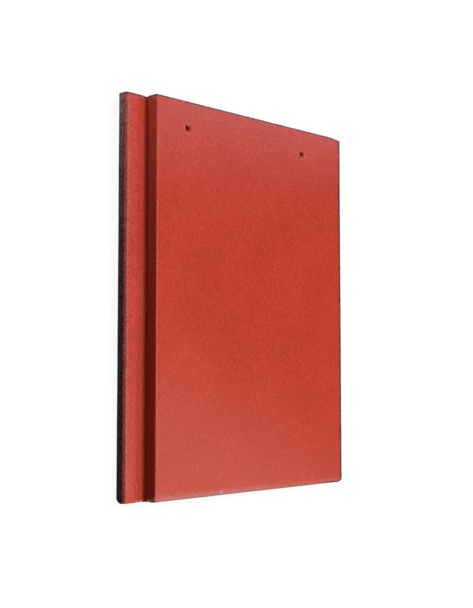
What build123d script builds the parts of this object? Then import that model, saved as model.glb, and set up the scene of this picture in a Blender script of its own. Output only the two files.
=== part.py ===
from build123d import *
import os

# A flat interlocking roof tile, pressed from concrete in one piece and lying face up.
# +X runs across the tile to its overlapping edge, +Y runs up to its head, +Z leaves the weather face.
# The origin is below the middle of the tile, level with the feet of the hanging nibs. Millimetres.

# Whole tile
tile_length = 420.0
tile_width = 330.0
body_depth = 28.0
panel_thickness = 14.0

# Side laps: the underlap on the left goes below the next tile's overlap
lap_width = 28.5
lap_play = 3.0
lap_clearance = 1.4
underlap_thickness = 12.6
step_draft = 0.3
channel_width = 13.0
channel_flank = 9.0
channel_depth = 0.9
drip_rib_width = 4.0

# Rounding of the long edges
underlap_arris_radius = 4.0
step_arris_radius = 0.8
overlap_arris_radius = 1.5
channel_radius = 12.0
step_root_radius = 1.0
drip_rib_radius = 0.8
overlap_root_radius = 2.5
underside_arris_radius = 1.5

# Ends and corners
tail_arris_radius = 4.0
tail_nose_radius = 8.0
head_arris_radius = 0.8
tail_corner_radius = 8.0
left_corner_radius = 1.5
head_trim_length = 20.0
head_trim_depth = 2.4
head_trim_radius = 3.0
head_trim_ease_radius = 12.0

# Pockets in the underside, between its ribs and weather bars
pocket_columns = 3
rib_width = 10.0
underlap_web_width = 16.0
overlap_web_width = 14.0
tail_bar_width = 18.0
weather_bar_width = 10.0
weather_pocket_length = 30.0
head_bar_width = 16.0
pocket_draft_angle = 12.0
pocket_corner_radius = 7.0

# Beads under the weather bars, which rest on the course below
bead_width = 9.0
bead_tip_width = 5.0
bead_drop = 3.0
bead_end_gap = 6.0

# Nibs that hang the tile on its batten
nib_depth = 12.0
nib_spacing = 150.0
nib_width = 46.0
nib_tip_width = 38.0
nib_thickness = 14.0
nib_tip_thickness = 9.0
nib_setback = 1.0
nib_edge_radius = 2.0

# Nail holes below the head
nail_spacing = 186.0
nail_from_head = 29.3
nail_hole_radius = 2.75
nail_mouth_radius = 4.8
nail_mouth_depth = 1.1

overrun = 5.0

# Places worked out from the sizes above
left = -tile_width / 2
right = tile_width / 2
tail = -tile_length / 2
head = tile_length / 2
underside = nib_depth
face = underside + body_depth
pocket_roof = face - panel_thickness
underlap_top = underside + underlap_thickness
overlap_under = underlap_top + lap_clearance
step = left + lap_width
step_foot = step - step_draft
overlap_root = right - lap_width - lap_play
pockets_left = step + underlap_web_width
pockets_right = overlap_root - overlap_web_width
weather_pocket_start = tail + tail_bar_width
weather_pocket_end = weather_pocket_start + weather_pocket_length
main_pocket_start = weather_pocket_end + weather_bar_width
main_pocket_end = head - head_bar_width


def outline(plane, corners):
    """A filled outline on a plane, from corners given as (across, up, radius)."""
    with BuildSketch(plane) as sketch:
        with BuildLine():
            places = [(across, up) for across, up, radius in corners]
            radii = [radius for across, up, radius in corners]
            FilletPolyline(*places, radius=radii, close=True)
        make_face()
    return sketch.sketch


def section():
    """The tile's cross-section, run from head to tail: underlap, step, panel and overlap with its drip rib."""
    channel_left = step_foot - channel_width
    channel_floor = underlap_top - channel_depth
    drip_rib_left = right - drip_rib_width
    drip_rib_foot = overlap_under - channel_depth
    corners = [
        (left, underside, underside_arris_radius),
        (left, underlap_top, underlap_arris_radius),
        (channel_left, underlap_top, channel_radius),
        (channel_left + channel_flank, channel_floor, channel_radius),
        (step_foot, channel_floor, step_root_radius),
        (step, face, step_arris_radius),
        (right, face, overlap_arris_radius),
        (right, drip_rib_foot, drip_rib_radius),
        (drip_rib_left, drip_rib_foot, drip_rib_radius),
        (drip_rib_left - channel_flank, overlap_under, drip_rib_radius),
        (overlap_root, overlap_under, overlap_root_radius),
        (overlap_root - step_draft, underside, underside_arris_radius),
    ]
    return extrude(outline(Plane.XZ.offset(-head), corners), amount=tile_length)


def plan():
    """The tile's outline from above: a rounded tail corner, and a corner trimmed at the head."""
    corners = [
        (left, tail, left_corner_radius),
        (right, tail, tail_corner_radius),
        (right, head - head_trim_depth, head_trim_radius),
        (right - head_trim_length, head, head_trim_ease_radius),
        (left, head, left_corner_radius),
    ]
    return extrude(outline(Plane.XY, corners), amount=face + overrun)


def profile():
    """The tile's outline from its side: an eased tail arris above a rounded nose, and a square-cut head."""
    corners = [
        (tail, underside, tail_nose_radius),
        (head, underside, head_arris_radius),
        (head, face, head_arris_radius),
        (tail, face, tail_arris_radius),
    ]
    across = Plane.YZ.offset(left - overrun)
    return extrude(outline(across, corners), amount=tile_width + 2 * overrun)


def pocket(centre_x, width, start, end):
    """One drafted pocket, from its mouth in the underside to its roof under the panel."""
    with BuildPart() as hollow:
        with BuildSketch(Plane.XY.offset(underside)):
            with Locations((centre_x, (start + end) / 2)):
                RectangleRounded(width, end - start, pocket_corner_radius)
        extrude(amount=pocket_roof - underside, taper=pocket_draft_angle)
    return hollow.part


def pockets():
    """A row of short pockets between the two weather bars, and a row of long ones up to the head bar."""
    room = pockets_right - pockets_left
    pitch = (room + rib_width) / pocket_columns
    width = pitch - rib_width
    rows = [(weather_pocket_start, weather_pocket_end), (main_pocket_start, main_pocket_end)]
    made = []
    for column in range(pocket_columns):
        centre_x = pockets_left + width / 2 + column * pitch
        for start, end in rows:
            made.append(pocket(centre_x, width, start, end))
    return made


def weather_bead(centre_y):
    """A bead across the underside of a weather bar."""
    root = underside + panel_thickness / 2
    spread = (bead_width - bead_tip_width) / 2
    with BuildPart() as bead:
        with BuildSketch(Plane.YZ.offset(step + bead_end_gap)):
            with BuildLine():
                Polyline(
                    (centre_y - bead_width / 2, root),
                    (centre_y - bead_width / 2, underside),
                    (centre_y - bead_width / 2 + spread, underside - bead_drop),
                    (centre_y + bead_width / 2 - spread, underside - bead_drop),
                    (centre_y + bead_width / 2, underside),
                    (centre_y + bead_width / 2, root),
                    close=True,
                )
            make_face()
        extrude(amount=overlap_root - step - 2 * bead_end_gap)
    return bead.part


def weather_beads():
    """The beads of the tail bar and of the weather bar behind it."""
    tail_bar_middle = tail + tail_bar_width / 2
    weather_bar_middle = weather_pocket_end + weather_bar_width / 2
    return [weather_bead(tail_bar_middle), weather_bead(weather_bar_middle)]


def nib(centre_x):
    """One nib: its hooking face, towards the tail, is square to the batten, and its other faces taper."""
    hook = head - nib_setback - nib_thickness
    root = underside + panel_thickness / 2
    side = [
        (hook, root, 0),
        (hook, 0, nib_edge_radius),
        (hook + nib_tip_thickness, 0, nib_edge_radius),
        (hook + nib_thickness, underside, 0),
        (hook + nib_thickness, root, 0),
    ]
    front = [
        (centre_x - nib_width / 2, root, 0),
        (centre_x - nib_width / 2, underside, 0),
        (centre_x - nib_tip_width / 2, 0, nib_edge_radius),
        (centre_x + nib_tip_width / 2, 0, nib_edge_radius),
        (centre_x + nib_width / 2, underside, 0),
        (centre_x + nib_width / 2, root, 0),
    ]
    across = extrude(outline(Plane.YZ.offset(centre_x), side), amount=nib_width / 2 + overrun, both=True)
    along = extrude(outline(Plane.XZ.offset(-head), front), amount=nib_setback + nib_thickness + overrun)
    return across & along


def nail_hole(centre_x):
    """A pierced nail hole with the dished mouth that the piercing pin leaves in the face."""
    shank = Cylinder(nail_hole_radius, body_depth + 2 * overrun)
    mouth = Cone(nail_hole_radius, nail_mouth_radius, nail_mouth_depth)
    place_y = head - nail_from_head
    return [
        Pos(centre_x, place_y, face - body_depth / 2) * shank,
        Pos(centre_x, place_y, face - nail_mouth_depth / 2) * mouth,
    ]


def roof_tile():
    """The whole tile, as one solid."""
    tile = section() & plan() & profile()
    for hollow in pockets():
        tile -= hollow
    for bead in weather_beads():
        tile += bead
    for side in (-1, 1):
        tile += nib(side * nib_spacing / 2)
        for cut in nail_hole(side * nail_spacing / 2):
            tile -= cut
    return tile


os.makedirs("parts", exist_ok=True)
export_step(roof_tile(), "parts/roof_tile.step")
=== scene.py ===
"""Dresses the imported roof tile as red-coated concrete and sets a plain studio round it.

Metres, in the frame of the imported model: +X across to the overlap, +Y up to the head, +Z out of the face.
"""
import math
from collections import namedtuple

import bmesh
import bpy
from mathutils import Euler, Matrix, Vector


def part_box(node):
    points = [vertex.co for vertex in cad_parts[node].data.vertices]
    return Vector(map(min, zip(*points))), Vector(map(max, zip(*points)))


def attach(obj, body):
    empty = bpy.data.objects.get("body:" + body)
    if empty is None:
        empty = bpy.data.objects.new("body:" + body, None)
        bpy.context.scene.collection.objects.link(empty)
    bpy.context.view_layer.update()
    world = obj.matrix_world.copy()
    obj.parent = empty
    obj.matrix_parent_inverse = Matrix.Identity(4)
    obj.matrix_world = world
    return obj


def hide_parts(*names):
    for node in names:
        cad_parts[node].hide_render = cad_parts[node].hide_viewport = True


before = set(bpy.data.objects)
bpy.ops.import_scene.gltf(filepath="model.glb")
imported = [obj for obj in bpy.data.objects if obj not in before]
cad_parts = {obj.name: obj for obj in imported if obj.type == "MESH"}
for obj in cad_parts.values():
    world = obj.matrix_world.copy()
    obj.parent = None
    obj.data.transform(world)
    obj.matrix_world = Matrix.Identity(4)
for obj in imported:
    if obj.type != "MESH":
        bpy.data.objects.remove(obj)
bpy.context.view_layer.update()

bl_info = {
    "name": "Flat Interlocking Roof Tile",
    "version": (1, 0, 0),
    "blender": (4, 5, 0),
    "location": "View3D > Sidebar > Roof Tile",
    "description": "Dresses the packed roof tile as red-coated concrete and sets a plain studio round it",
    "category": "Object",
}

NODE = "roof_tile"
SLOT = "red_coated_concrete"
LOW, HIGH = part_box(NODE)
LEFT, TAIL, FOOT = LOW
RIGHT, HEAD, FACE = HIGH
AXES = {"x": Vector((1, 0, 0)), "y": Vector((0, 1, 0)), "z": Vector((0, 0, 1))}
TINY = 1e-6
MERGE_GAP = 1e-5
SENSOR_WIDTH_MM = 36.0
VIEW_END = 100.0

# A stretch of a noise, a slope or a distance, over which a feature grows from nothing to whole
Band = namedtuple("Band", "start end")

# Damage that shows: small scars on the arrises
Chip = namedtuple("Chip", "x y z reach depth pale_share")
CHIPS = {
    "tail arris": Chip(x=-0.0424, y=TAIL + 0.0030, z=FACE, reach=0.0034, depth=0.0005, pale_share=0.5),
    "foot of the step": Chip(x=-0.1366, y=TAIL, z=0.0290, reach=0.0026, depth=0.0038, pale_share=1.0),
    "underlap, first": Chip(x=-0.1415, y=TAIL, z=0.0240, reach=0.0026, depth=0.0004, pale_share=1.0),
    "underlap, second": Chip(x=-0.1455, y=TAIL, z=0.0244, reach=0.0022, depth=0.0003, pale_share=1.0),
    "underlap, third": Chip(x=-0.1485, y=TAIL, z=0.0246, reach=0.0018, depth=0.0003, pale_share=0.7),
    "step arris": Chip(x=-0.1365, y=TAIL + 0.0040, z=FACE, reach=0.0030, depth=0.0005, pale_share=0.5),
    "root at the head": Chip(x=-0.1368, y=HEAD, z=0.0240, reach=0.0032, depth=0.0004, pale_share=0.0),
}


# Properties

def length(name, description, default):
    """A length property, in metres."""
    return bpy.props.FloatProperty(name=name, description=description, default=default,
                                   unit="LENGTH", precision=5, min=0.0)


def share(name, description, default):
    """A plain number property, such as a strength or a share."""
    return bpy.props.FloatProperty(name=name, description=description, default=default)


def angle(name, description, degrees):
    """An angle property, given in degrees and kept in radians."""
    return bpy.props.FloatProperty(name=name, description=description, default=math.radians(degrees),
                                   subtype="ANGLE")


def colour(name, description, default):
    """A linear colour property."""
    return bpy.props.FloatVectorProperty(name=name, description=description, default=default,
                                         subtype="COLOR", size=3, min=0.0, max=1.0)


def place(name, description, default):
    """A place property, in metres."""
    return bpy.props.FloatVectorProperty(name=name, description=description, default=default,
                                         subtype="TRANSLATION", size=3)


class TileSizes(bpy.types.PropertyGroup):
    """Sizes of the tile that its finish follows."""

    lap_width: length("Lap width", "From the underlap's edge to the arris of the step", 0.0285)
    underlap_drop: length("Underlap drop", "From the weather face down to the underlap", 0.0154)
    channel_drop: length("Channel drop", "From the weather face down to the floor of the channel", 0.0163)
    underside_lift: length("Underside lift", "From the feet of the nibs up to the underside", 0.012)
    arris_round: length("Arris round", "Largest rounding of the tile's ends", 0.0008)
    lap_round: length("Lap round", "Rounding of the underlap's arris", 0.004)
    head_trim_length: length("Head trim length", "Length of the trimmed corner along the head", 0.020)
    head_trim_depth: length("Head trim depth", "How far the trimmed corner is cut back", 0.0024)
    tail_corner: length("Tail corner", "Rounding of the overlap's corner at the tail", 0.008)
    nail_spacing: length("Nail spacing", "Between the two nail holes", 0.186)
    nail_from_head: length("Nail setback", "From the head down to the nail holes", 0.0293)
    nib_foot_setback: length("Nib foot setback", "From the head to the tail side of the nibs' feet", 0.013)
    bead_setback: length("Bead setback", "From the tail to the near side of the first bead's foot", 0.0065)
    bead_lift: length("Bead lift", "From the feet of the nibs up to the foot of the beads", 0.009)


class TileGrid(bpy.types.PropertyGroup):
    """How finely the surface is divided, so that it can carry its relief."""

    fine: length("Fine spacing", "Between cuts of the visible faces", 0.0021)
    edge: length("Edge spacing", "Between cuts beside an arris", 0.0007)
    edge_reach: length("Edge reach", "How far the closer cuts go from an arris", 0.0035)
    coarse: length("Coarse spacing", "Between cuts of the underside", 0.007)
    flat_angle: angle("Flat angle", "Facets that differ by less than this are joined before the cuts", 0.4)
    smooth_angle: angle("Smooth angle", "Edges sharper than this stay crisp", 38.0)


class TileRelief(bpy.types.PropertyGroup):
    """Heights and sizes of the unevenness of the pressed concrete."""

    swell: length("Swell height", "Broad unevenness of the faces", 0.0003)
    swell_size: length("Swell size", "Distance over which the swell repeats", 0.11)
    ripple: length("Ripple height", "Middling unevenness of the faces", 0.00008)
    ripple_size: length("Ripple size", "Distance over which the ripple repeats", 0.012)
    nibble: length("Nibble depth", "Deepest bite out of an arris", 0.0008)
    nibble_gain: share("Nibble gain", "How sharply the bites stand out", 1.1)
    nibble_level: share("Nibble level", "How much of an arris is bitten at all", 0.35)
    nibble_bulge: share("Nibble bulge", "How far an arris stands out between its bites", 0.25)
    nibble_size: length("Nibble size", "Distance over which the bites repeat", 0.006)
    nibble_reach: length("Nibble reach", "How far from an arris the bites go", 0.0024)
    tear: length("Tear depth", "How far a nail hole is torn out into three corners", 0.0002)
    tear_rough: length("Tear roughness", "Unevenness of a nail hole's torn mouth", 0.0006)
    tear_size: length("Tear size", "Distance over which that unevenness repeats", 0.0045)
    tear_reach: length("Tear reach", "How far from a nail hole's middle the tear goes", 0.0085)
    seed: share("Seed", "Moves the noise of the relief", 3.0)


class TileCoat(bpy.types.PropertyGroup):
    """Where the red coat ends, where it is rubbed pale, and where painted shade, sheen and highlights lie on
    it.
    """

    right_bare: length("Overlap bare line", "Width of the bare line along the overlap", 0.0038)
    head_bare: length("Head bare line", "Width of the bare line along the head", 0.0016)
    tail_bare: length("Tail bare line", "Width of the bare line by the tail's corner", 0.0012)
    tail_bare_length: length("Tail bare length", "How far that line runs along the tail", 0.050)
    wall_reach: length("Wall reach", "How far from the step the coat takes in any slope", 0.0024)
    nose_coat: length("Nose coat", "How far the coat runs down the nose at the tail", 0.022)
    hole_coat: length("Hole coat", "How far from a nail hole's middle the coat goes into it", 0.0062)
    hole_coat_depth: length("Hole coat depth", "How deep in a nail hole the coat ends", 0.012)
    # Part wear, part painted sheen: the tail is rubbed pale, palest at its left end, where the sheen lies.
    tail_rub_and_sheen: length("Tail rub", "How far from the tail's arris the coat is rubbed pale", 0.009)
    tail_rub_and_sheen_least: share("Least tail rub", "How pale the tail is rubbed at its right end", 0.45)
    tail_rub_and_sheen_gain: share("Tail rub gain", "How much paler the tail is rubbed at its left end", 0.5)
    # Painted shade: the wall of the step, which faces away from the lights, takes a darker red below this
    # depth under the face.
    wall_shade_depth: length("Thin wall", "How far below the face the wall's coat grows thin", 0.005)
    # The painted shade of the wall fades out this far above the channel, and the channel's painted sheen
    # starts this far from the step.
    root_reach: length("Full root", "How far from the foot of the step the coat is full again", 0.004)
    lip_drop: length("Lip drop", "How far below the underlap its arris loses the coat", 0.0028)
    lip_fade: length("Lip fade", "Half the height over which the coat runs out there", 0.0012)
    # Painted shade: a line of dark specks along the middle of the underlap's arris.
    pit_shade_reach: length("Pit reach", "Half the width of the pitted line on the underlap's arris", 0.0014)
    # Painted sheen: a pale band in the channel beside the step.
    channel_sheen_strength: share("Channel rub strength", "How pale the channel is rubbed", 0.2)
    # Part wear, part painted highlight along the arris of the step.
    step_rub_and_highlight: length("Step rub", "How far from the step's arris the coat is rubbed pale", 0.0024)
    step_rub_and_highlight_strength: share("Step rub strength", "How pale the step's arris is rubbed", 0.7)
    # Part wear, part painted highlight along the underlap's arris.
    lap_rub_and_highlight: length("Lap rub", "How far from the underlap's edge the coat is rubbed pale", 0.0048)
    lap_rub_and_highlight_strength: share("Lap rub strength", "How pale the underlap's arris is rubbed", 0.6)
    # Painted highlight: a pale rim on the outer and head side of each nail hole's mouth.
    hole_rim_highlight: length("Hole rub", "Radius of the pale rim round a nail hole", 0.0050)
    hole_rim_highlight_strength: share("Hole rub strength", "How pale that rim is", 0.5)
    strip_edge: length("Strip edge", "From the step to where the underlap's coarser grain begins", 0.012)


class TileGrain(bpy.types.PropertyGroup):
    """Sizes and heights of the grain in the coat and the concrete."""

    grain_size: length("Grain size", "Distance over which the coat's grain repeats", 0.0017)
    sand_size: length("Sand size", "Distance over which single sand grains repeat", 0.0011)
    fleck_size: length("Fleck size", "Distance over which flecks and pores repeat", 0.0046)
    cloud_size: length("Cloud size", "Distance over which the coat's thickness varies", 0.060)
    grain_share: share("Grain share", "Share of the grain in the coat's shades", 0.6)
    sand_share: share("Sand share", "Share of the sand in the coat's shades", 0.2)
    cloud_share: share("Cloud share", "Share of the clouds in the coat's shades", 0.2)
    raggedness: share("Raggedness", "How ragged the coat's edge is", 16.0)
    speck_strength: share("Speck strength", "How pale single sand grains show through the coat", 0.4)
    lap_speck_strength: share("Underlap speck strength", "How much more they show on the underlap", 0.15)
    # Painted shade: how dark the specks along the underlap's arris are.
    pit_shade_strength: share("Pit strength", "How dark the pits of the underlap's arris are", 0.9)
    pore_strength: share("Pore strength", "How dark the pores of bare concrete are", 0.6)
    height: length("Grain height", "Height of the grain", 0.00016)
    sand_height_share: share("Sand height share", "Height of the sand against the grain", 0.6)
    fleck_height_share: share("Fleck height share", "Height of the flecks against the grain", 0.3)
    underlap_grain: share("Underlap grain", "How much coarser the underlap's grain is", 1.8)
    coat_roughness: share("Coat roughness", "Roughness of the coat", 0.21)
    roughness_swing: share("Roughness swing", "How much the grain changes that roughness", 0.2)
    bare_roughness: share("Bare roughness", "Roughness of bare concrete", 0.95)
    bare_specular: share("Bare specular", "Specular level of bare concrete", 0.06)


class TileColours(bpy.types.PropertyGroup):
    """Linear colours of the coat and of the concrete below it."""

    coat: colour("Coat", "Red of the weather face", (0.630, 0.060, 0.031))
    coat_deep: colour("Deep coat", "Red where the coat lies thick", (0.420, 0.032, 0.0155))
    # Used for wear and sand specks, and as painted sheen and highlights at the tail, the channel, the arrises
    # and the nail holes.
    coat_pale_and_sheen: colour("Pale coat", "Red where the coat is rubbed", (0.570, 0.175, 0.140))
    # Painted shade: this darker red stands for the shade on the wall of the step.
    coat_wall_shade: colour("Thin coat", "Red of the thin coat on the wall of the step", (0.380, 0.056, 0.038))
    concrete: colour("Concrete", "Grey of the bare edges", (0.140, 0.088, 0.081))
    concrete_pale: colour("Pale concrete", "Lighter sand grains", (0.360, 0.252, 0.236))
    concrete_dark: colour("Dark concrete", "Pores and dark grains", (0.026, 0.014, 0.012))
    # Painted shade: a dark colour for the shade along the coat's edge, used on bare concrete where the coat
    # runs out and for the specks on the underlap's arris.
    coat_edge_shade: colour("Coat edge", "Dark line where the coat runs out", (0.050, 0.020, 0.017))
    chip: colour("Chip", "Fresh scars on the arrises", (0.700, 0.330, 0.280))


class StageSettings(bpy.types.PropertyGroup):
    """Camera, floor and lights."""

    lens: share("Lens", "Focal length on a 36 mm sensor, in millimetres", 63.12)
    camera_tilt: angle("Camera tilt", "How far the camera looks up towards the head", 3.858)
    camera_turn: angle("Camera turn", "How far the camera leans from straight above to the left", 45.801)
    camera_place: place("Camera place", "Where the camera stands", (-0.8586, -0.0818, 0.8566))
    floor_size: length("Floor size", "Side of the floor", 14.0)
    floor_glow: share("Floor glow", "How white the floor is in the tile's shadow", 0.94)
    floor_lit: share("Floor lit", "How much whiter the floor is in the light", 0.08)
    floor_bounce: share("Floor bounce", "How pale the floor is to the light that the tile gets from it", 0.07)
    floor_shade_start: length("Floor shade start", "How far under the tile the floor starts to darken", 0.016)
    floor_shade_end: length("Floor shade end", "How far under the tile the floor is darkest", 0.026)
    sun_place: place("Sun place", "Which side the main light comes from", (0.15, 0.36, 1.0))
    sun_strength: share("Sun strength", "Strength of the main light", 2.48)
    sun_spread: angle("Sun spread", "Width of the main light, which softens its shadows", 26.0)
    right_sun_place: place("Right sun place", "Which side the second light comes from", (0.62, 0.30, 1.0))
    right_sun_strength: share("Right sun strength", "Strength of the second light", 0.65)
    right_sun_spread: angle("Right sun spread", "Width of the second light", 16.0)
    head_card: place("Head card", "Place of the card that gives the sheen near the head", (1.12, 0.89, 0.98))
    head_card_aim: place("Head card aim", "Where the head card points", (0.0, 1.39, FACE))
    head_card_power: share("Head card power", "Watts of the head card", 4.5)
    head_card_colour: colour("Head card colour", "Cool white of the head card", (0.68, 0.82, 1.0))
    tail_card: place("Tail card", "Place of the card that gives the sheen near the tail", (0.68, -0.59, 1.18))
    tail_card_power: share("Tail card power", "Watts of the tail card", 5.0)
    tail_card_colour: colour("Tail card colour", "Warm white of the tail card", (1.0, 0.98, 0.90))
    nose_card: place("Nose card", "Place of the card that shows in the tail's arris", (0.50, -0.95, 0.45))
    nose_card_power: share("Nose card power", "Watts of the nose card", 2.2)
    card_size: length("Card size", "Side of the head and nose cards", 0.8)
    tail_card_size: length("Tail card size", "Side of the tail card", 1.12)
    side_lamp: place("Side lamp", "Place of the low lamp beside the underlap", (-0.265, 0.255, 0.016))
    side_lamp_aim: place("Side lamp aim", "Where the low lamp points", (-0.165, 0.165, 0.018))
    side_lamp_power: share("Side lamp power", "Watts of the low lamp", 0.085)
    side_lamp_length: length("Side lamp length", "Length of the low lamp", 0.10)
    side_lamp_height: length("Side lamp height", "Height of the low lamp", 0.018)
    world_strength: share("World strength", "Strength of the light from all round", 0.07)


SETTINGS = {
    "tile_sizes": TileSizes,
    "tile_grid": TileGrid,
    "tile_relief": TileRelief,
    "tile_coat": TileCoat,
    "tile_grain": TileGrain,
    "tile_colours": TileColours,
    "tile_stage": StageSettings,
}


def setting_names(group):
    """The names of a group's own properties."""
    return [key for key in group.bl_rna.properties.keys() if key not in ("rna_type", "name")]


# Node trees written as expressions

# Sockets of the Mix node when it mixes colours
MIX_FACTOR = 0
MIX_COLOURS = (6, 7)
MIX_RESULT = 2


class Term:
    """A socket that takes part in Python sums: each operation adds a Math node to its tree."""

    def __init__(self, tree, socket):
        self.tree = tree
        self.socket = socket

    def math(self, operation, *others, first=None):
        terms = [self if first is None else first, *others]
        if first is not None:
            terms.append(self)
        return self.tree.add("ShaderNodeMath", {"operation": operation}, dict(enumerate(terms)))

    def __add__(self, other):
        return self.math("ADD", other)

    __radd__ = __add__

    def __mul__(self, other):
        return self.math("MULTIPLY", other)

    __rmul__ = __mul__

    def __sub__(self, other):
        return self.math("SUBTRACT", other)

    def __rsub__(self, other):
        return self.math("SUBTRACT", first=other)

    def __truediv__(self, other):
        return self.math("DIVIDE", other)

    def __rtruediv__(self, other):
        return self.math("DIVIDE", first=other)

    def __pow__(self, other):
        return self.math("POWER", other)

    def __neg__(self):
        return self * -1

    def __abs__(self):
        return self.math("ABSOLUTE")

    def least(self, other):
        return self.math("MINIMUM", other)

    def most(self, other):
        return self.math("MAXIMUM", other)

    def ramp(self, start, end):
        """0 at start and 1 at end, easing between them."""
        return self.tree.add("ShaderNodeMapRange", {"interpolation_type": "SMOOTHSTEP"},
                             {"Value": self, "From Min": start, "From Max": end})

    def rise(self, reach, shares):
        """0 at one share of a reach and 1 at another, easing between them."""
        return self.ramp(reach * shares.start, reach * shares.end)

    def near(self, reach, core_share=0.0):
        """1 at no distance, or within a share of the reach, and 0 past the reach."""
        return 1.0 - (self / reach).ramp(core_share, 1.0)


class Tree:
    """A node tree that is filled by expressions."""

    def __init__(self, nodes):
        self.nodes = nodes.nodes
        self.links = nodes.links

    def add(self, kind, settings=None, sockets=None, output=0):
        """Adds a node with its settings, then its socket values or links, and gives one of its outputs."""
        node = self.nodes.new(kind)
        for name, value in (settings or {}).items():
            setattr(node, name, value)
        for name, value in (sockets or {}).items():
            socket = node.inputs[name]
            if isinstance(value, Term):
                self.links.new(value.socket, socket)
            else:
                socket.default_value = value
        return Term(self, node.outputs[output])

    def end(self, kind, socket_name, term):
        """Adds an output node and links a term to it."""
        node = self.nodes.new(kind)
        self.links.new(term.socket, node.inputs[socket_name])

    def split(self, vector):
        """The three parts of a vector."""
        node = self.add("ShaderNodeSeparateXYZ", None, {"Vector": vector}).socket.node
        return [Term(self, socket) for socket in node.outputs]

    def noise(self, where, size, detail=2.0, seed=0.0):
        """Noise from 0 to 1 that repeats over about this distance."""
        return self.add("ShaderNodeTexNoise", {"noise_dimensions": "4D"},
                        {"Vector": where, "W": seed, "Scale": 1.0 / size, "Detail": detail})

    def mix(self, factor, first, second):
        """A colour between two colours."""
        sockets = {MIX_FACTOR: factor}
        for index, value in zip(MIX_COLOURS, (first, second)):
            sockets[index] = value if isinstance(value, Term) else (*value, 1.0)
        return self.add("ShaderNodeMix", {"data_type": "RGBA"}, sockets, MIX_RESULT)


def gap(*parts):
    """The length of a vector given by its parts."""
    total = parts[0] * parts[0]
    for part in parts[1:]:
        total = total + part * part
    return total ** 0.5


def triple_sine(sine):
    """The sine of three times an angle, from the angle's own sine."""
    return sine * 3 - sine ** 3 * 4


def highest(terms):
    """The highest of several terms."""
    top, *others = terms
    for term in others:
        top = top.most(term)
    return top


# The tile's divided surface

# Parts of a face's normal past which it points down, or out of an end
DOWN = -0.3
ENDWARD = 0.9


def cut_places(start, end, spacing, crowded, reach, close):
    """Places from start to end at one spacing, with closer ones beside each crowded place."""
    count = max(1, round((end - start) / spacing))
    places = [start + (end - start) * index / count for index in range(1, count)]
    for centre in crowded:
        steps = round(reach / close)
        places += [centre + close * step for step in range(-steps, steps + 1)]
    kept = []
    for cut in sorted(spot for spot in places if start < spot < end):
        if not kept or cut - kept[-1] > close / 2:
            kept.append(cut)
    return kept


def cut_faces(bm, faces, axis, places):
    """Cuts faces across one axis at each place, in order, and gives every face that comes of it."""
    direction = AXES[axis]
    done = []
    active = faces
    for cut in places:
        edges = {edge for face in active for edge in face.edges}
        verts = {vert for face in active for vert in face.verts}
        made = bmesh.ops.bisect_plane(bm, geom=[*verts, *edges, *active], dist=TINY,
                                      plane_co=direction * cut, plane_no=direction)
        found = [item for item in made["geom"] if isinstance(item, bmesh.types.BMFace)]
        behind = [max(vert.co.dot(direction) for vert in face.verts) <= cut + TINY for face in found]
        done += [face for face, past in zip(found, behind) if past]
        active = [face for face, past in zip(found, behind) if not past]
    return done + active


def is_hidden(face, sizes):
    """Whether a face belongs to the underside, which takes only coarse cuts."""
    centre = face.calc_center_median()
    underside = FOOT + sizes.underside_lift
    between_laps = LEFT + sizes.lap_width < centre.x < RIGHT - sizes.lap_width
    inside = between_laps and TAIL + TINY < centre.y < HEAD - TINY
    at_end = min(HEAD - centre.y, centre.y - TAIL) < sizes.arris_round and abs(face.normal.y) > ENDWARD
    below = centre.z < FACE - sizes.arris_round and inside and not at_end
    return face.normal.z < DOWN or centre.z < underside or below


def divided_tile(sizes, grid):
    """A copy of the CAD tile's mesh, merged, and divided finely where it shows and coarsely below."""
    step = LEFT + sizes.lap_width
    nails = [-sizes.nail_spacing / 2, sizes.nail_spacing / 2]
    crowded = {
        "x": [LEFT, step, RIGHT, *nails],
        "y": [TAIL, HEAD, HEAD - sizes.nail_from_head],
        "z": [FACE, FACE - sizes.underlap_drop],
    }
    bm = bmesh.new()
    bm.from_mesh(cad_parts[NODE].data)
    bmesh.ops.remove_doubles(bm, verts=bm.verts[:], dist=MERGE_GAP)
    bmesh.ops.dissolve_limit(bm, angle_limit=grid.flat_angle, verts=bm.verts[:], edges=bm.edges[:])
    hidden = [face for face in bm.faces if is_hidden(face, sizes)]
    shown = [face for face in bm.faces if not is_hidden(face, sizes)]
    for index, axis in enumerate("xyz"):
        span = LOW[index], HIGH[index]
        fine = cut_places(*span, grid.fine, crowded[axis], grid.edge_reach, grid.edge)
        coarse = cut_places(*span, grid.coarse, [], 0.0, grid.coarse)
        shown = cut_faces(bm, shown, axis, fine)
        hidden = cut_faces(bm, hidden, axis, coarse)
    bmesh.ops.recalc_face_normals(bm, faces=bm.faces[:])
    mesh = bpy.data.meshes.new("tile_divided")
    bm.to_mesh(mesh)
    bm.free()
    return mesh


# The tile's relief and the marks that its coat follows

# Parts of a face's normal between which a mark fades in
UPWARD = Band(0.20, 1.0)
TAILWARD = Band(0.2, 0.8)
LAP_UPWARD = Band(0.25, 0.6)
STEP_UPWARD = Band(0.7, 0.95)

# Shares of a reach between which a mark fades in
RIGHT_FADE_SHARES = Band(0.3, 1.7)
HEAD_FADE_SHARES = Band(0.5, 1.5)
WALL_SHADE_FADE_SHARES = Band(0.5, 1.0)
ROOT_FADE_SHARES = Band(0.7, 1.0)
STRIP_FADE_SHARES = Band(1 / 3, 1.0)
RIM_FADE_SHARES = Band(-2.0, 1.0)

# How far in the middle of a quarter-round arris lies, as a share of its radius
ARRIS_MIDDLE_SHARE = 1.0 - math.sqrt(0.5)


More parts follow.
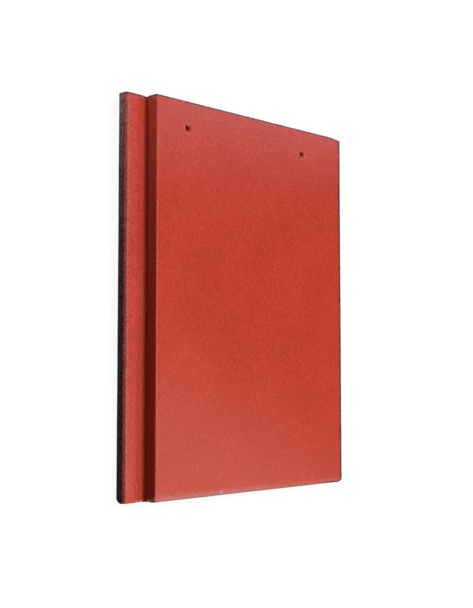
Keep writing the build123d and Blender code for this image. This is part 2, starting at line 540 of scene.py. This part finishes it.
class Surface:
    """The parts of a point on the tile and of its normal, and the distances that the finish follows."""

    def __init__(self, tree, sizes):
        self.where = tree.add("GeometryNodeInputPosition")
        self.normal = tree.add("GeometryNodeInputNormal")
        self.x, self.y, self.z = tree.split(self.where)
        self.facing_y, self.facing_z = tree.split(self.normal)[1:]
        self.step = LEFT + sizes.lap_width
        self.underlap = FACE - sizes.underlap_drop
        self.channel = FACE - sizes.channel_drop
        self.depth = FACE - self.z
        self.hole_x = abs(self.x) - sizes.nail_spacing / 2
        self.hole_y = self.y - (HEAD - sizes.nail_from_head)
        self.hole = gap(self.hole_x, self.hole_y)

    def from_chip(self, chip):
        """The distance from a chip's middle."""
        return gap(self.x - chip.x, self.y - chip.y, self.z - chip.z)

    def inside_head(self, sizes):
        """The distance inside the head, with its trimmed corner."""
        long, deep = sizes.head_trim_length, sizes.head_trim_depth
        trimmed = ((RIGHT - self.x) * deep + (HEAD - self.y) * long - deep * long) / math.hypot(long, deep)
        return (HEAD - self.y).least(trimmed)

    def inside_right(self, sizes, tail_length, tail_squeeze):
        """The distance inside the overlap's edge, round its corner and, squeezed, some way along the tail."""
        corner = sizes.tail_corner
        past_x = (self.x - (RIGHT - corner)).most(0.0)
        reached = self.x.ramp(RIGHT - tail_length, RIGHT - tail_length / 2)
        past_y = (TAIL + corner - self.y).most(0.0) * reached
        return (corner - gap(past_x, past_y)) * (1.0 + past_y / corner * tail_squeeze)


def arris_wear(here, reach):
    """How worn a point is, from 0 away from the arrises to 1 on the most ragged of them."""
    arrises = [
        (here.x - here.step, here.z - FACE, 0.55),
        (here.x - LEFT, here.z - here.underlap, 0.90),
        (here.x - RIGHT, here.z - FACE, 0.10),
        (here.y - HEAD, here.z - FACE, 0.25),
        (here.y - TAIL, here.z - FACE, 0.40),
        (here.y - HEAD, here.z - here.underlap, 0.20),
        (here.y - TAIL, here.z - here.underlap, 0.10),
    ]
    return highest(gap(across, along).near(reach) * raggedness_share
                   for across, along, raggedness_share in arrises)


def coat_marks(here, sizes, coat):
    """Named marks from 0 to 1: where the coat is whole or chipped, where it takes painted shade on the step's
    wall and the underlap's arris, where it is rubbed pale with painted sheen and highlights, and where it is
    coarse.
    """
    from_right = here.inside_right(sizes, coat.tail_bare_length, coat.right_bare / coat.tail_bare - 1.0)
    from_left = here.x - LEFT
    from_tail = here.y - TAIL
    from_step = here.step - here.x
    edges = (from_right.rise(coat.right_bare, RIGHT_FADE_SHARES)
             * here.inside_head(sizes).rise(coat.head_bare, HEAD_FADE_SHARES))

    upward = here.facing_z.ramp(*UPWARD) * edges
    above_channel = here.z.ramp(here.channel - TINY, here.channel)
    wall = abs(from_step).near(coat.wall_reach, core_share=0.9) * above_channel
    lip_foot = here.underlap - coat.lip_drop
    lip = from_left.near(sizes.lap_round) * here.z.ramp(lip_foot - coat.lip_fade, lip_foot + coat.lip_fade)
    nose = ((-here.facing_y).ramp(*TAILWARD) * from_tail.near(coat.nose_coat, core_share=0.5)
            * here.depth.near(coat.nose_coat))
    in_hole = (here.hole.near(coat.hole_coat, core_share=0.9)
               * here.depth.near(coat.hole_coat_depth, core_share=0.5))
    # Painted shade on the wall of the step: darker red further below the face, fading out near its foot.
    wall_shade = (wall * here.depth.rise(coat.wall_shade_depth, WALL_SHADE_FADE_SHARES)
            * here.z.ramp(here.channel, here.channel + coat.root_reach))
    # Painted shade: a line of dark specks along the middle of the underlap's arris.
    inset = sizes.lap_round * ARRIS_MIDDLE_SHARE
    pit_shade = gap(from_left - inset, here.z - here.underlap + inset).near(coat.pit_shade_reach, core_share=0.3)

    # Part wear, part painted sheen at the tail, palest to the left.
    leftward = (RIGHT - here.x).ramp(0.0, RIGHT - LEFT)
    tail_rub_and_sheen = (gap(from_tail, here.depth).near(coat.tail_rub_and_sheen, core_share=0.15)
                * (leftward * coat.tail_rub_and_sheen_gain + coat.tail_rub_and_sheen_least))
    # Painted sheen: a pale band in the channel beside the step.
    channel_sheen = (from_step.rise(coat.root_reach, ROOT_FADE_SHARES)
                   * from_step.near(coat.strip_edge, core_share=0.5) * coat.channel_sheen_strength)
    # Part wear, part painted highlight along the arris of the step.
    step_rub_and_highlight = (gap(from_step, here.depth).near(coat.step_rub_and_highlight, core_share=0.2)
                * here.facing_z.ramp(*STEP_UPWARD) * coat.step_rub_and_highlight_strength)
    # Part wear, part painted highlight along the underlap's arris.
    lap_rub_and_highlight = (from_left.near(coat.lap_rub_and_highlight, core_share=0.6)
               * here.facing_z.ramp(*LAP_UPWARD) * coat.lap_rub_and_highlight_strength)
    # Painted highlight: a pale rim on the outer and head side of each nail hole's mouth.
    hole_rim_highlight = (abs(here.hole - coat.hole_rim_highlight).near(coat.hole_rim_highlight / 2)
                * (here.hole_x + here.hole_y).rise(coat.hole_rim_highlight, RIM_FADE_SHARES) * coat.hole_rim_highlight_strength)
    scars = [here.from_chip(chip).near(chip.reach, core_share=0.5) * chip.pale_share
             for chip in CHIPS.values()]
    return {
        "coat": highest([upward, wall * edges, lip * edges, nose * edges, in_hole]),
        "wall_shade": wall_shade,
        "pit_shade": pit_shade,
        "rub_and_sheen": highest([tail_rub_and_sheen, channel_sheen, step_rub_and_highlight, lap_rub_and_highlight, hole_rim_highlight]),
        "chip": highest(scars),
        "underlap": from_step.rise(coat.strip_edge, STRIP_FADE_SHARES),
    }


def relief_tree(sizes, relief, coat, material):
    """Geometry nodes that mark where the coat lies and press the concrete's unevenness into the tile."""
    group = bpy.data.node_groups.new("tile_relief", "GeometryNodeTree")
    names = setting_names(relief)
    group.interface.new_socket("Geometry", in_out="INPUT", socket_type="NodeSocketGeometry")
    for name in names:
        group.interface.new_socket(name, in_out="INPUT", socket_type="NodeSocketFloat")
    group.interface.new_socket("Geometry", in_out="OUTPUT", socket_type="NodeSocketGeometry")
    tree = Tree(group)
    entry = tree.add("NodeGroupInput").socket.node
    given = {socket.name: Term(tree, socket) for socket in entry.outputs if socket.name}
    here = Surface(tree, sizes)

    def uneven(size, shift, detail):
        """Noise from -1 to 1."""
        return (tree.noise(here.where, given[size], detail, given["seed"] + shift) - 0.5) * 2

    marked = given["Geometry"]
    for name, value in coat_marks(here, sizes, coat).items():
        marked = tree.add("GeometryNodeStoreNamedAttribute", {"data_type": "FLOAT", "domain": "POINT"},
                          {"Geometry": marked, "Name": name, "Value": value})

    bite = uneven("nibble_size", shift=2.0, detail=3.0) * given["nibble_gain"] + given["nibble_level"]
    bite = bite.most(-given["nibble_bulge"])
    torn = here.hole.near(given["tear_reach"], core_share=0.45)
    height = uneven("swell_size", shift=0.0, detail=1.0) * given["swell"]
    height = height + uneven("ripple_size", shift=1.0, detail=1.0) * given["ripple"]
    height = height - bite * arris_wear(here, given["nibble_reach"]) * given["nibble"]
    height = height + torn * uneven("tear_size", shift=3.0, detail=2.0) * given["tear_rough"]
    for chip in CHIPS.values():
        height = height - here.from_chip(chip).near(chip.reach, core_share=0.35) * chip.depth

    outward = torn * triple_sine(here.hole_y / here.hole) * given["tear"] / here.hole
    side = here.x.math("SIGN")
    tear = tree.add("ShaderNodeCombineXYZ", None,
                    {"X": outward * here.hole_x * side, "Y": outward * here.hole_y})
    press = tree.add("ShaderNodeVectorMath", {"operation": "SCALE"}, {"Vector": here.normal, "Scale": height})
    offset = tree.add("ShaderNodeVectorMath", {"operation": "ADD"}, {0: press, 1: tear})
    moved = tree.add("GeometryNodeSetPosition", None, {"Geometry": marked, "Offset": offset})
    real = tree.add("GeometryNodeRealizeInstances", None, {"Geometry": moved})
    dressed = tree.add("GeometryNodeSetMaterial", None, {"Geometry": real, "Material": material})
    tree.end("NodeGroupOutput", 0, dressed)
    return group, {name: getattr(relief, name) for name in names}


# The tile's finish

# Levels of a noise or a mark between which a feature of the finish shows
COVERED = Band(0.40, 0.60)
THICK = Band(0.28, 0.70)
SPECK = Band(0.66, 0.82)
LAP_SPECK = Band(0.52, 0.72)
PALE_RUB_AND_SHEEN = Band(0.25, 0.60)
SCAR = Band(0.25, 0.50)
PIT_SHADE = Band(0.42, 0.58)
PALE_SAND = Band(0.44, 0.66)
PORE = Band(0.52, 0.66)
RUN_OUT = Band(0.0, 0.25)


def coated_concrete(colours, grains):
    """Red coat over grey concrete: the coat thins out at the arrises, and bare faces show their sand; painted
    shade darkens the step's wall and the coat's edges, and painted sheen and highlights mix into its pale
    rubbing.
    """
    material = bpy.data.materials.new(SLOT)
    material.use_nodes = True
    material.node_tree.nodes.clear()
    tree = Tree(material.node_tree)
    where = tree.add("ShaderNodeTexCoord", None, None, "Object")
    coat, wall_shade, pit_shade, rub_and_sheen, chip, underlap = [
        tree.add("ShaderNodeAttribute", {"attribute_name": name}, None, "Fac")
        for name in ("coat", "wall_shade", "pit_shade", "rub_and_sheen", "chip", "underlap")]
    grain = tree.noise(where, grains.grain_size, detail=2.0, seed=1.0)
    fleck = tree.noise(where, grains.fleck_size, detail=2.0, seed=2.0)
    cloud = tree.noise(where, grains.cloud_size, detail=4.0, seed=3.0)
    sand = tree.noise(where, grains.sand_size, detail=1.0, seed=4.0)

    covered = (coat + (sand - 0.5) * coat * (1.0 - coat) * grains.raggedness).ramp(*COVERED)
    shade = grain * grains.grain_share + sand * grains.sand_share + cloud * grains.cloud_share
    speck = (sand.ramp(*SPECK) * grains.speck_strength
             + underlap * sand.ramp(*LAP_SPECK) * grains.lap_speck_strength)
    pale_wear_and_sheen = (rub_and_sheen * grain.ramp(*PALE_RUB_AND_SHEEN) + speck).least(1.0)
    scar = chip * fleck.ramp(*SCAR)
    red = tree.mix(shade.ramp(*THICK), colours.coat_deep, colours.coat)
    # Painted shade: the wall of the step turns a darker red.
    red = tree.mix(wall_shade, red, colours.coat_wall_shade)
    # Pale wear and sand specks, with painted sheen and highlights where the pale marks call for them.
    red = tree.mix(pale_wear_and_sheen, red, colours.coat_pale_and_sheen)
    # Painted shade: dark specks along the middle of the underlap's arris.
    red = tree.mix(pit_shade * sand.ramp(*PIT_SHADE) * grains.pit_shade_strength, red, colours.coat_edge_shade)
    red = tree.mix(scar, red, colours.chip)
    grey = tree.mix(sand.ramp(*PALE_SAND), colours.concrete, colours.concrete_pale)
    grey = tree.mix(fleck.ramp(*PORE) * grains.pore_strength, grey, colours.concrete_dark)
    # Painted shade: bare concrete turns dark where the coat runs out.
    grey = tree.mix(coat.ramp(*RUN_OUT), grey, colours.coat_edge_shade)
    grey = tree.mix(scar, grey, colours.chip)

    coarse = 1.0 + underlap * grains.underlap_grain
    height = (grain + sand * grains.sand_height_share) * coarse + fleck * grains.fleck_height_share
    bump = tree.add("ShaderNodeBump", None, {"Strength": 1.0, "Distance": grains.height, "Height": height})
    roughness = (grain - 0.5) * grains.roughness_swing + grains.coat_roughness
    coated = tree.add("ShaderNodeBsdfPrincipled", None, {
        "Base Color": red, "Roughness": roughness, "Normal": bump})
    bare = tree.add("ShaderNodeBsdfPrincipled", None, {
        "Base Color": grey, "Roughness": grains.bare_roughness, "Specular IOR Level": grains.bare_specular,
        "Normal": bump})
    surface = tree.add("ShaderNodeMixShader", None, {0: covered, 1: bare, 2: coated})
    tree.end("ShaderNodeOutputMaterial", "Surface", surface)
    return material


class DressTile(bpy.types.Operator):
    """Makes the tile's finished surface over its CAD solid"""

    bl_idname = "roof_tile.dress_tile"
    bl_label = "Dress the tile"

    def execute(self, context):
        scene = context.scene
        material = coated_concrete(scene.tile_colours, scene.tile_grain)
        group, values = relief_tree(scene.tile_sizes, scene.tile_relief, scene.tile_coat, material)
        tile = bpy.data.objects.new("coated_roof_tile", divided_tile(scene.tile_sizes, scene.tile_grid))
        scene.collection.objects.link(tile)
        modifier = tile.modifiers.new("relief", "NODES")
        modifier.node_group = group
        for item in group.interface.items_tree:
            if item.name in values:
                modifier[item.identifier] = values[item.name]
        graph = context.evaluated_depsgraph_get()
        finished = bpy.data.meshes.new_from_object(tile.evaluated_get(graph), preserve_all_data_layers=True,
                                                   depsgraph=graph)
        tile.modifiers.remove(modifier)
        tile.data = finished
        finished.shade_smooth()
        finished.set_sharp_from_angle(angle=scene.tile_grid.smooth_angle)
        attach(tile, "root")
        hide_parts(NODE)
        return {"FINISHED"}


# The stage

WHITE = (1.0, 1.0, 1.0, 1.0)


def floor_material(stage):
    """A white floor that keeps the tile's shadow."""
    material = bpy.data.materials.new("white_floor")
    material.use_nodes = True
    material.node_tree.nodes.clear()
    tree = Tree(material.node_tree)
    path = tree.add("ShaderNodeLightPath").socket.node
    seen = highest(Term(tree, path.outputs[name])
                   for name in ("Is Camera Ray", "Is Glossy Ray", "Is Transmission Ray"))
    x, y = tree.split(tree.add("ShaderNodeTexCoord", None, None, "Object"))[:2]
    under_tile = (RIGHT - abs(x)).least(HEAD - abs(y)).ramp(stage.floor_shade_start, stage.floor_shade_end)

    def matt(paleness):
        return tree.add("ShaderNodeBsdfDiffuse", None, {"Color": (paleness, paleness, paleness, 1.0)})

    glow = tree.add("ShaderNodeEmission", None, {"Color": WHITE, "Strength": stage.floor_glow})
    white = tree.add("ShaderNodeAddShader", None, {0: matt(stage.floor_lit), 1: glow})
    surface = tree.add("ShaderNodeMixShader", None,
                       {0: seen * (1.0 - under_tile), 1: matt(stage.floor_bounce), 2: white})
    tree.end("ShaderNodeOutputMaterial", "Surface", surface)
    return material


def make_floor(sizes, stage):
    """A floor that touches the feet of the nibs and the first bead, as the tile lies unheld."""
    nib_foot = HEAD - sizes.nib_foot_setback
    bead = TAIL + sizes.bead_setback
    slope = sizes.bead_lift / (nib_foot - bead)
    half = stage.floor_size / 2
    corners = [(x, y, FOOT + (nib_foot - y) * slope)
               for x, y in ((-half, -half), (half, -half), (half, half), (-half, half))]
    mesh = bpy.data.meshes.new("floor")
    mesh.from_pydata(corners, [], [(0, 1, 2, 3)])
    mesh.materials.append(floor_material(stage))
    floor = bpy.data.objects.new("floor", mesh)
    bpy.context.scene.collection.objects.link(floor)


def make_light(name, kind, where, target, glossy=True, diffuse=True, **settings):
    """A lamp at a place, aimed at a target, which may leave out its highlight or its plain light."""
    lamp = bpy.data.lights.new(name, kind)
    for key, value in settings.items():
        setattr(lamp, key, value)
    holder = bpy.data.objects.new(name, lamp)
    holder.location = where
    holder.rotation_euler = (Vector(target) - Vector(where)).to_track_quat("-Z", "Y").to_euler()
    holder.visible_glossy = glossy
    holder.visible_diffuse = diffuse
    holder.visible_camera = False
    bpy.context.scene.collection.objects.link(holder)


def make_lights(stage):
    """Two broad lights, three cards that show as sheen at the head and the tail, and a low side lamp."""
    middle = (0, 0, FACE)
    make_light("sun", "SUN", stage.sun_place, (0, 0, 0), glossy=False, energy=stage.sun_strength,
               angle=stage.sun_spread)
    make_light("right_sun", "SUN", stage.right_sun_place, (0, 0, 0), glossy=False,
               energy=stage.right_sun_strength, angle=stage.right_sun_spread)
    make_light("head_card", "AREA", stage.head_card, stage.head_card_aim, diffuse=False,
               energy=stage.head_card_power, shape="SQUARE", size=stage.card_size,
               color=stage.head_card_colour)
    make_light("tail_card", "AREA", stage.tail_card, middle, diffuse=False, energy=stage.tail_card_power,
               shape="SQUARE", size=stage.tail_card_size, color=stage.tail_card_colour)
    make_light("nose_card", "AREA", stage.nose_card, (0, TAIL, FACE), energy=stage.nose_card_power,
               shape="SQUARE", size=stage.card_size)
    make_light("side_lamp", "AREA", stage.side_lamp, stage.side_lamp_aim, glossy=False,
               energy=stage.side_lamp_power, shape="RECTANGLE", size=stage.side_lamp_length,
               size_y=stage.side_lamp_height)


def make_world(stage):
    """Even light from all round, and white where the camera sees past the floor."""
    world = bpy.data.worlds.new("studio")
    world.use_nodes = True
    world.node_tree.nodes.clear()
    tree = Tree(world.node_tree)
    path = tree.add("ShaderNodeLightPath").socket.node
    seen = Term(tree, path.outputs["Is Camera Ray"])
    strength = seen * (1.0 - stage.world_strength) + stage.world_strength
    light = tree.add("ShaderNodeBackground", None, {"Color": WHITE, "Strength": strength})
    tree.end("ShaderNodeOutputWorld", "Surface", light)
    bpy.context.scene.world = world


def make_camera(stage):
    """A camera that leans to the left of the tile and keeps its head at the top of the picture."""
    camera = bpy.data.cameras.new("camera")
    camera.sensor_width = SENSOR_WIDTH_MM
    camera.lens = stage.lens
    camera.clip_end = VIEW_END
    holder = bpy.data.objects.new("camera", camera)
    holder.location = stage.camera_place
    holder.rotation_euler = Euler((stage.camera_tilt, -stage.camera_turn, 0.0), "XYZ")
    bpy.context.scene.collection.objects.link(holder)
    bpy.context.scene.camera = holder


class SetStage(bpy.types.Operator):
    """Makes the floor, the lights, the world and the camera"""

    bl_idname = "roof_tile.set_stage"
    bl_label = "Set the stage"

    def execute(self, context):
        scene = context.scene
        scene.view_settings.view_transform = "Standard"
        make_floor(scene.tile_sizes, scene.tile_stage)
        make_lights(scene.tile_stage)
        make_world(scene.tile_stage)
        make_camera(scene.tile_stage)
        return {"FINISHED"}


class TilePanel(bpy.types.Panel):
    """Lists the tile's operators and settings"""

    bl_idname = "VIEW3D_PT_roof_tile"
    bl_label = "Roof Tile"
    bl_space_type = "VIEW_3D"
    bl_region_type = "UI"
    bl_category = "Roof Tile"

    def draw(self, context):
        for operator in OPERATORS:
            self.layout.operator(operator.bl_idname)
        for name in SETTINGS:
            box = self.layout.box()
            group = getattr(context.scene, name)
            for key in setting_names(group):
                box.prop(group, key)


OPERATORS = [DressTile, SetStage]


def register():
    for item in [*SETTINGS.values(), *OPERATORS, TilePanel]:
        bpy.utils.register_class(item)
    for name, group in SETTINGS.items():
        setattr(bpy.types.Scene, name, bpy.props.PointerProperty(type=group))


def unregister():
    for name in SETTINGS:
        delattr(bpy.types.Scene, name)
    for item in reversed([*SETTINGS.values(), *OPERATORS, TilePanel]):
        bpy.utils.unregister_class(item)


def main():
    register()
    bpy.ops.roof_tile.dress_tile()
    bpy.ops.roof_tile.set_stage()


if __name__ == "__main__":
    main()
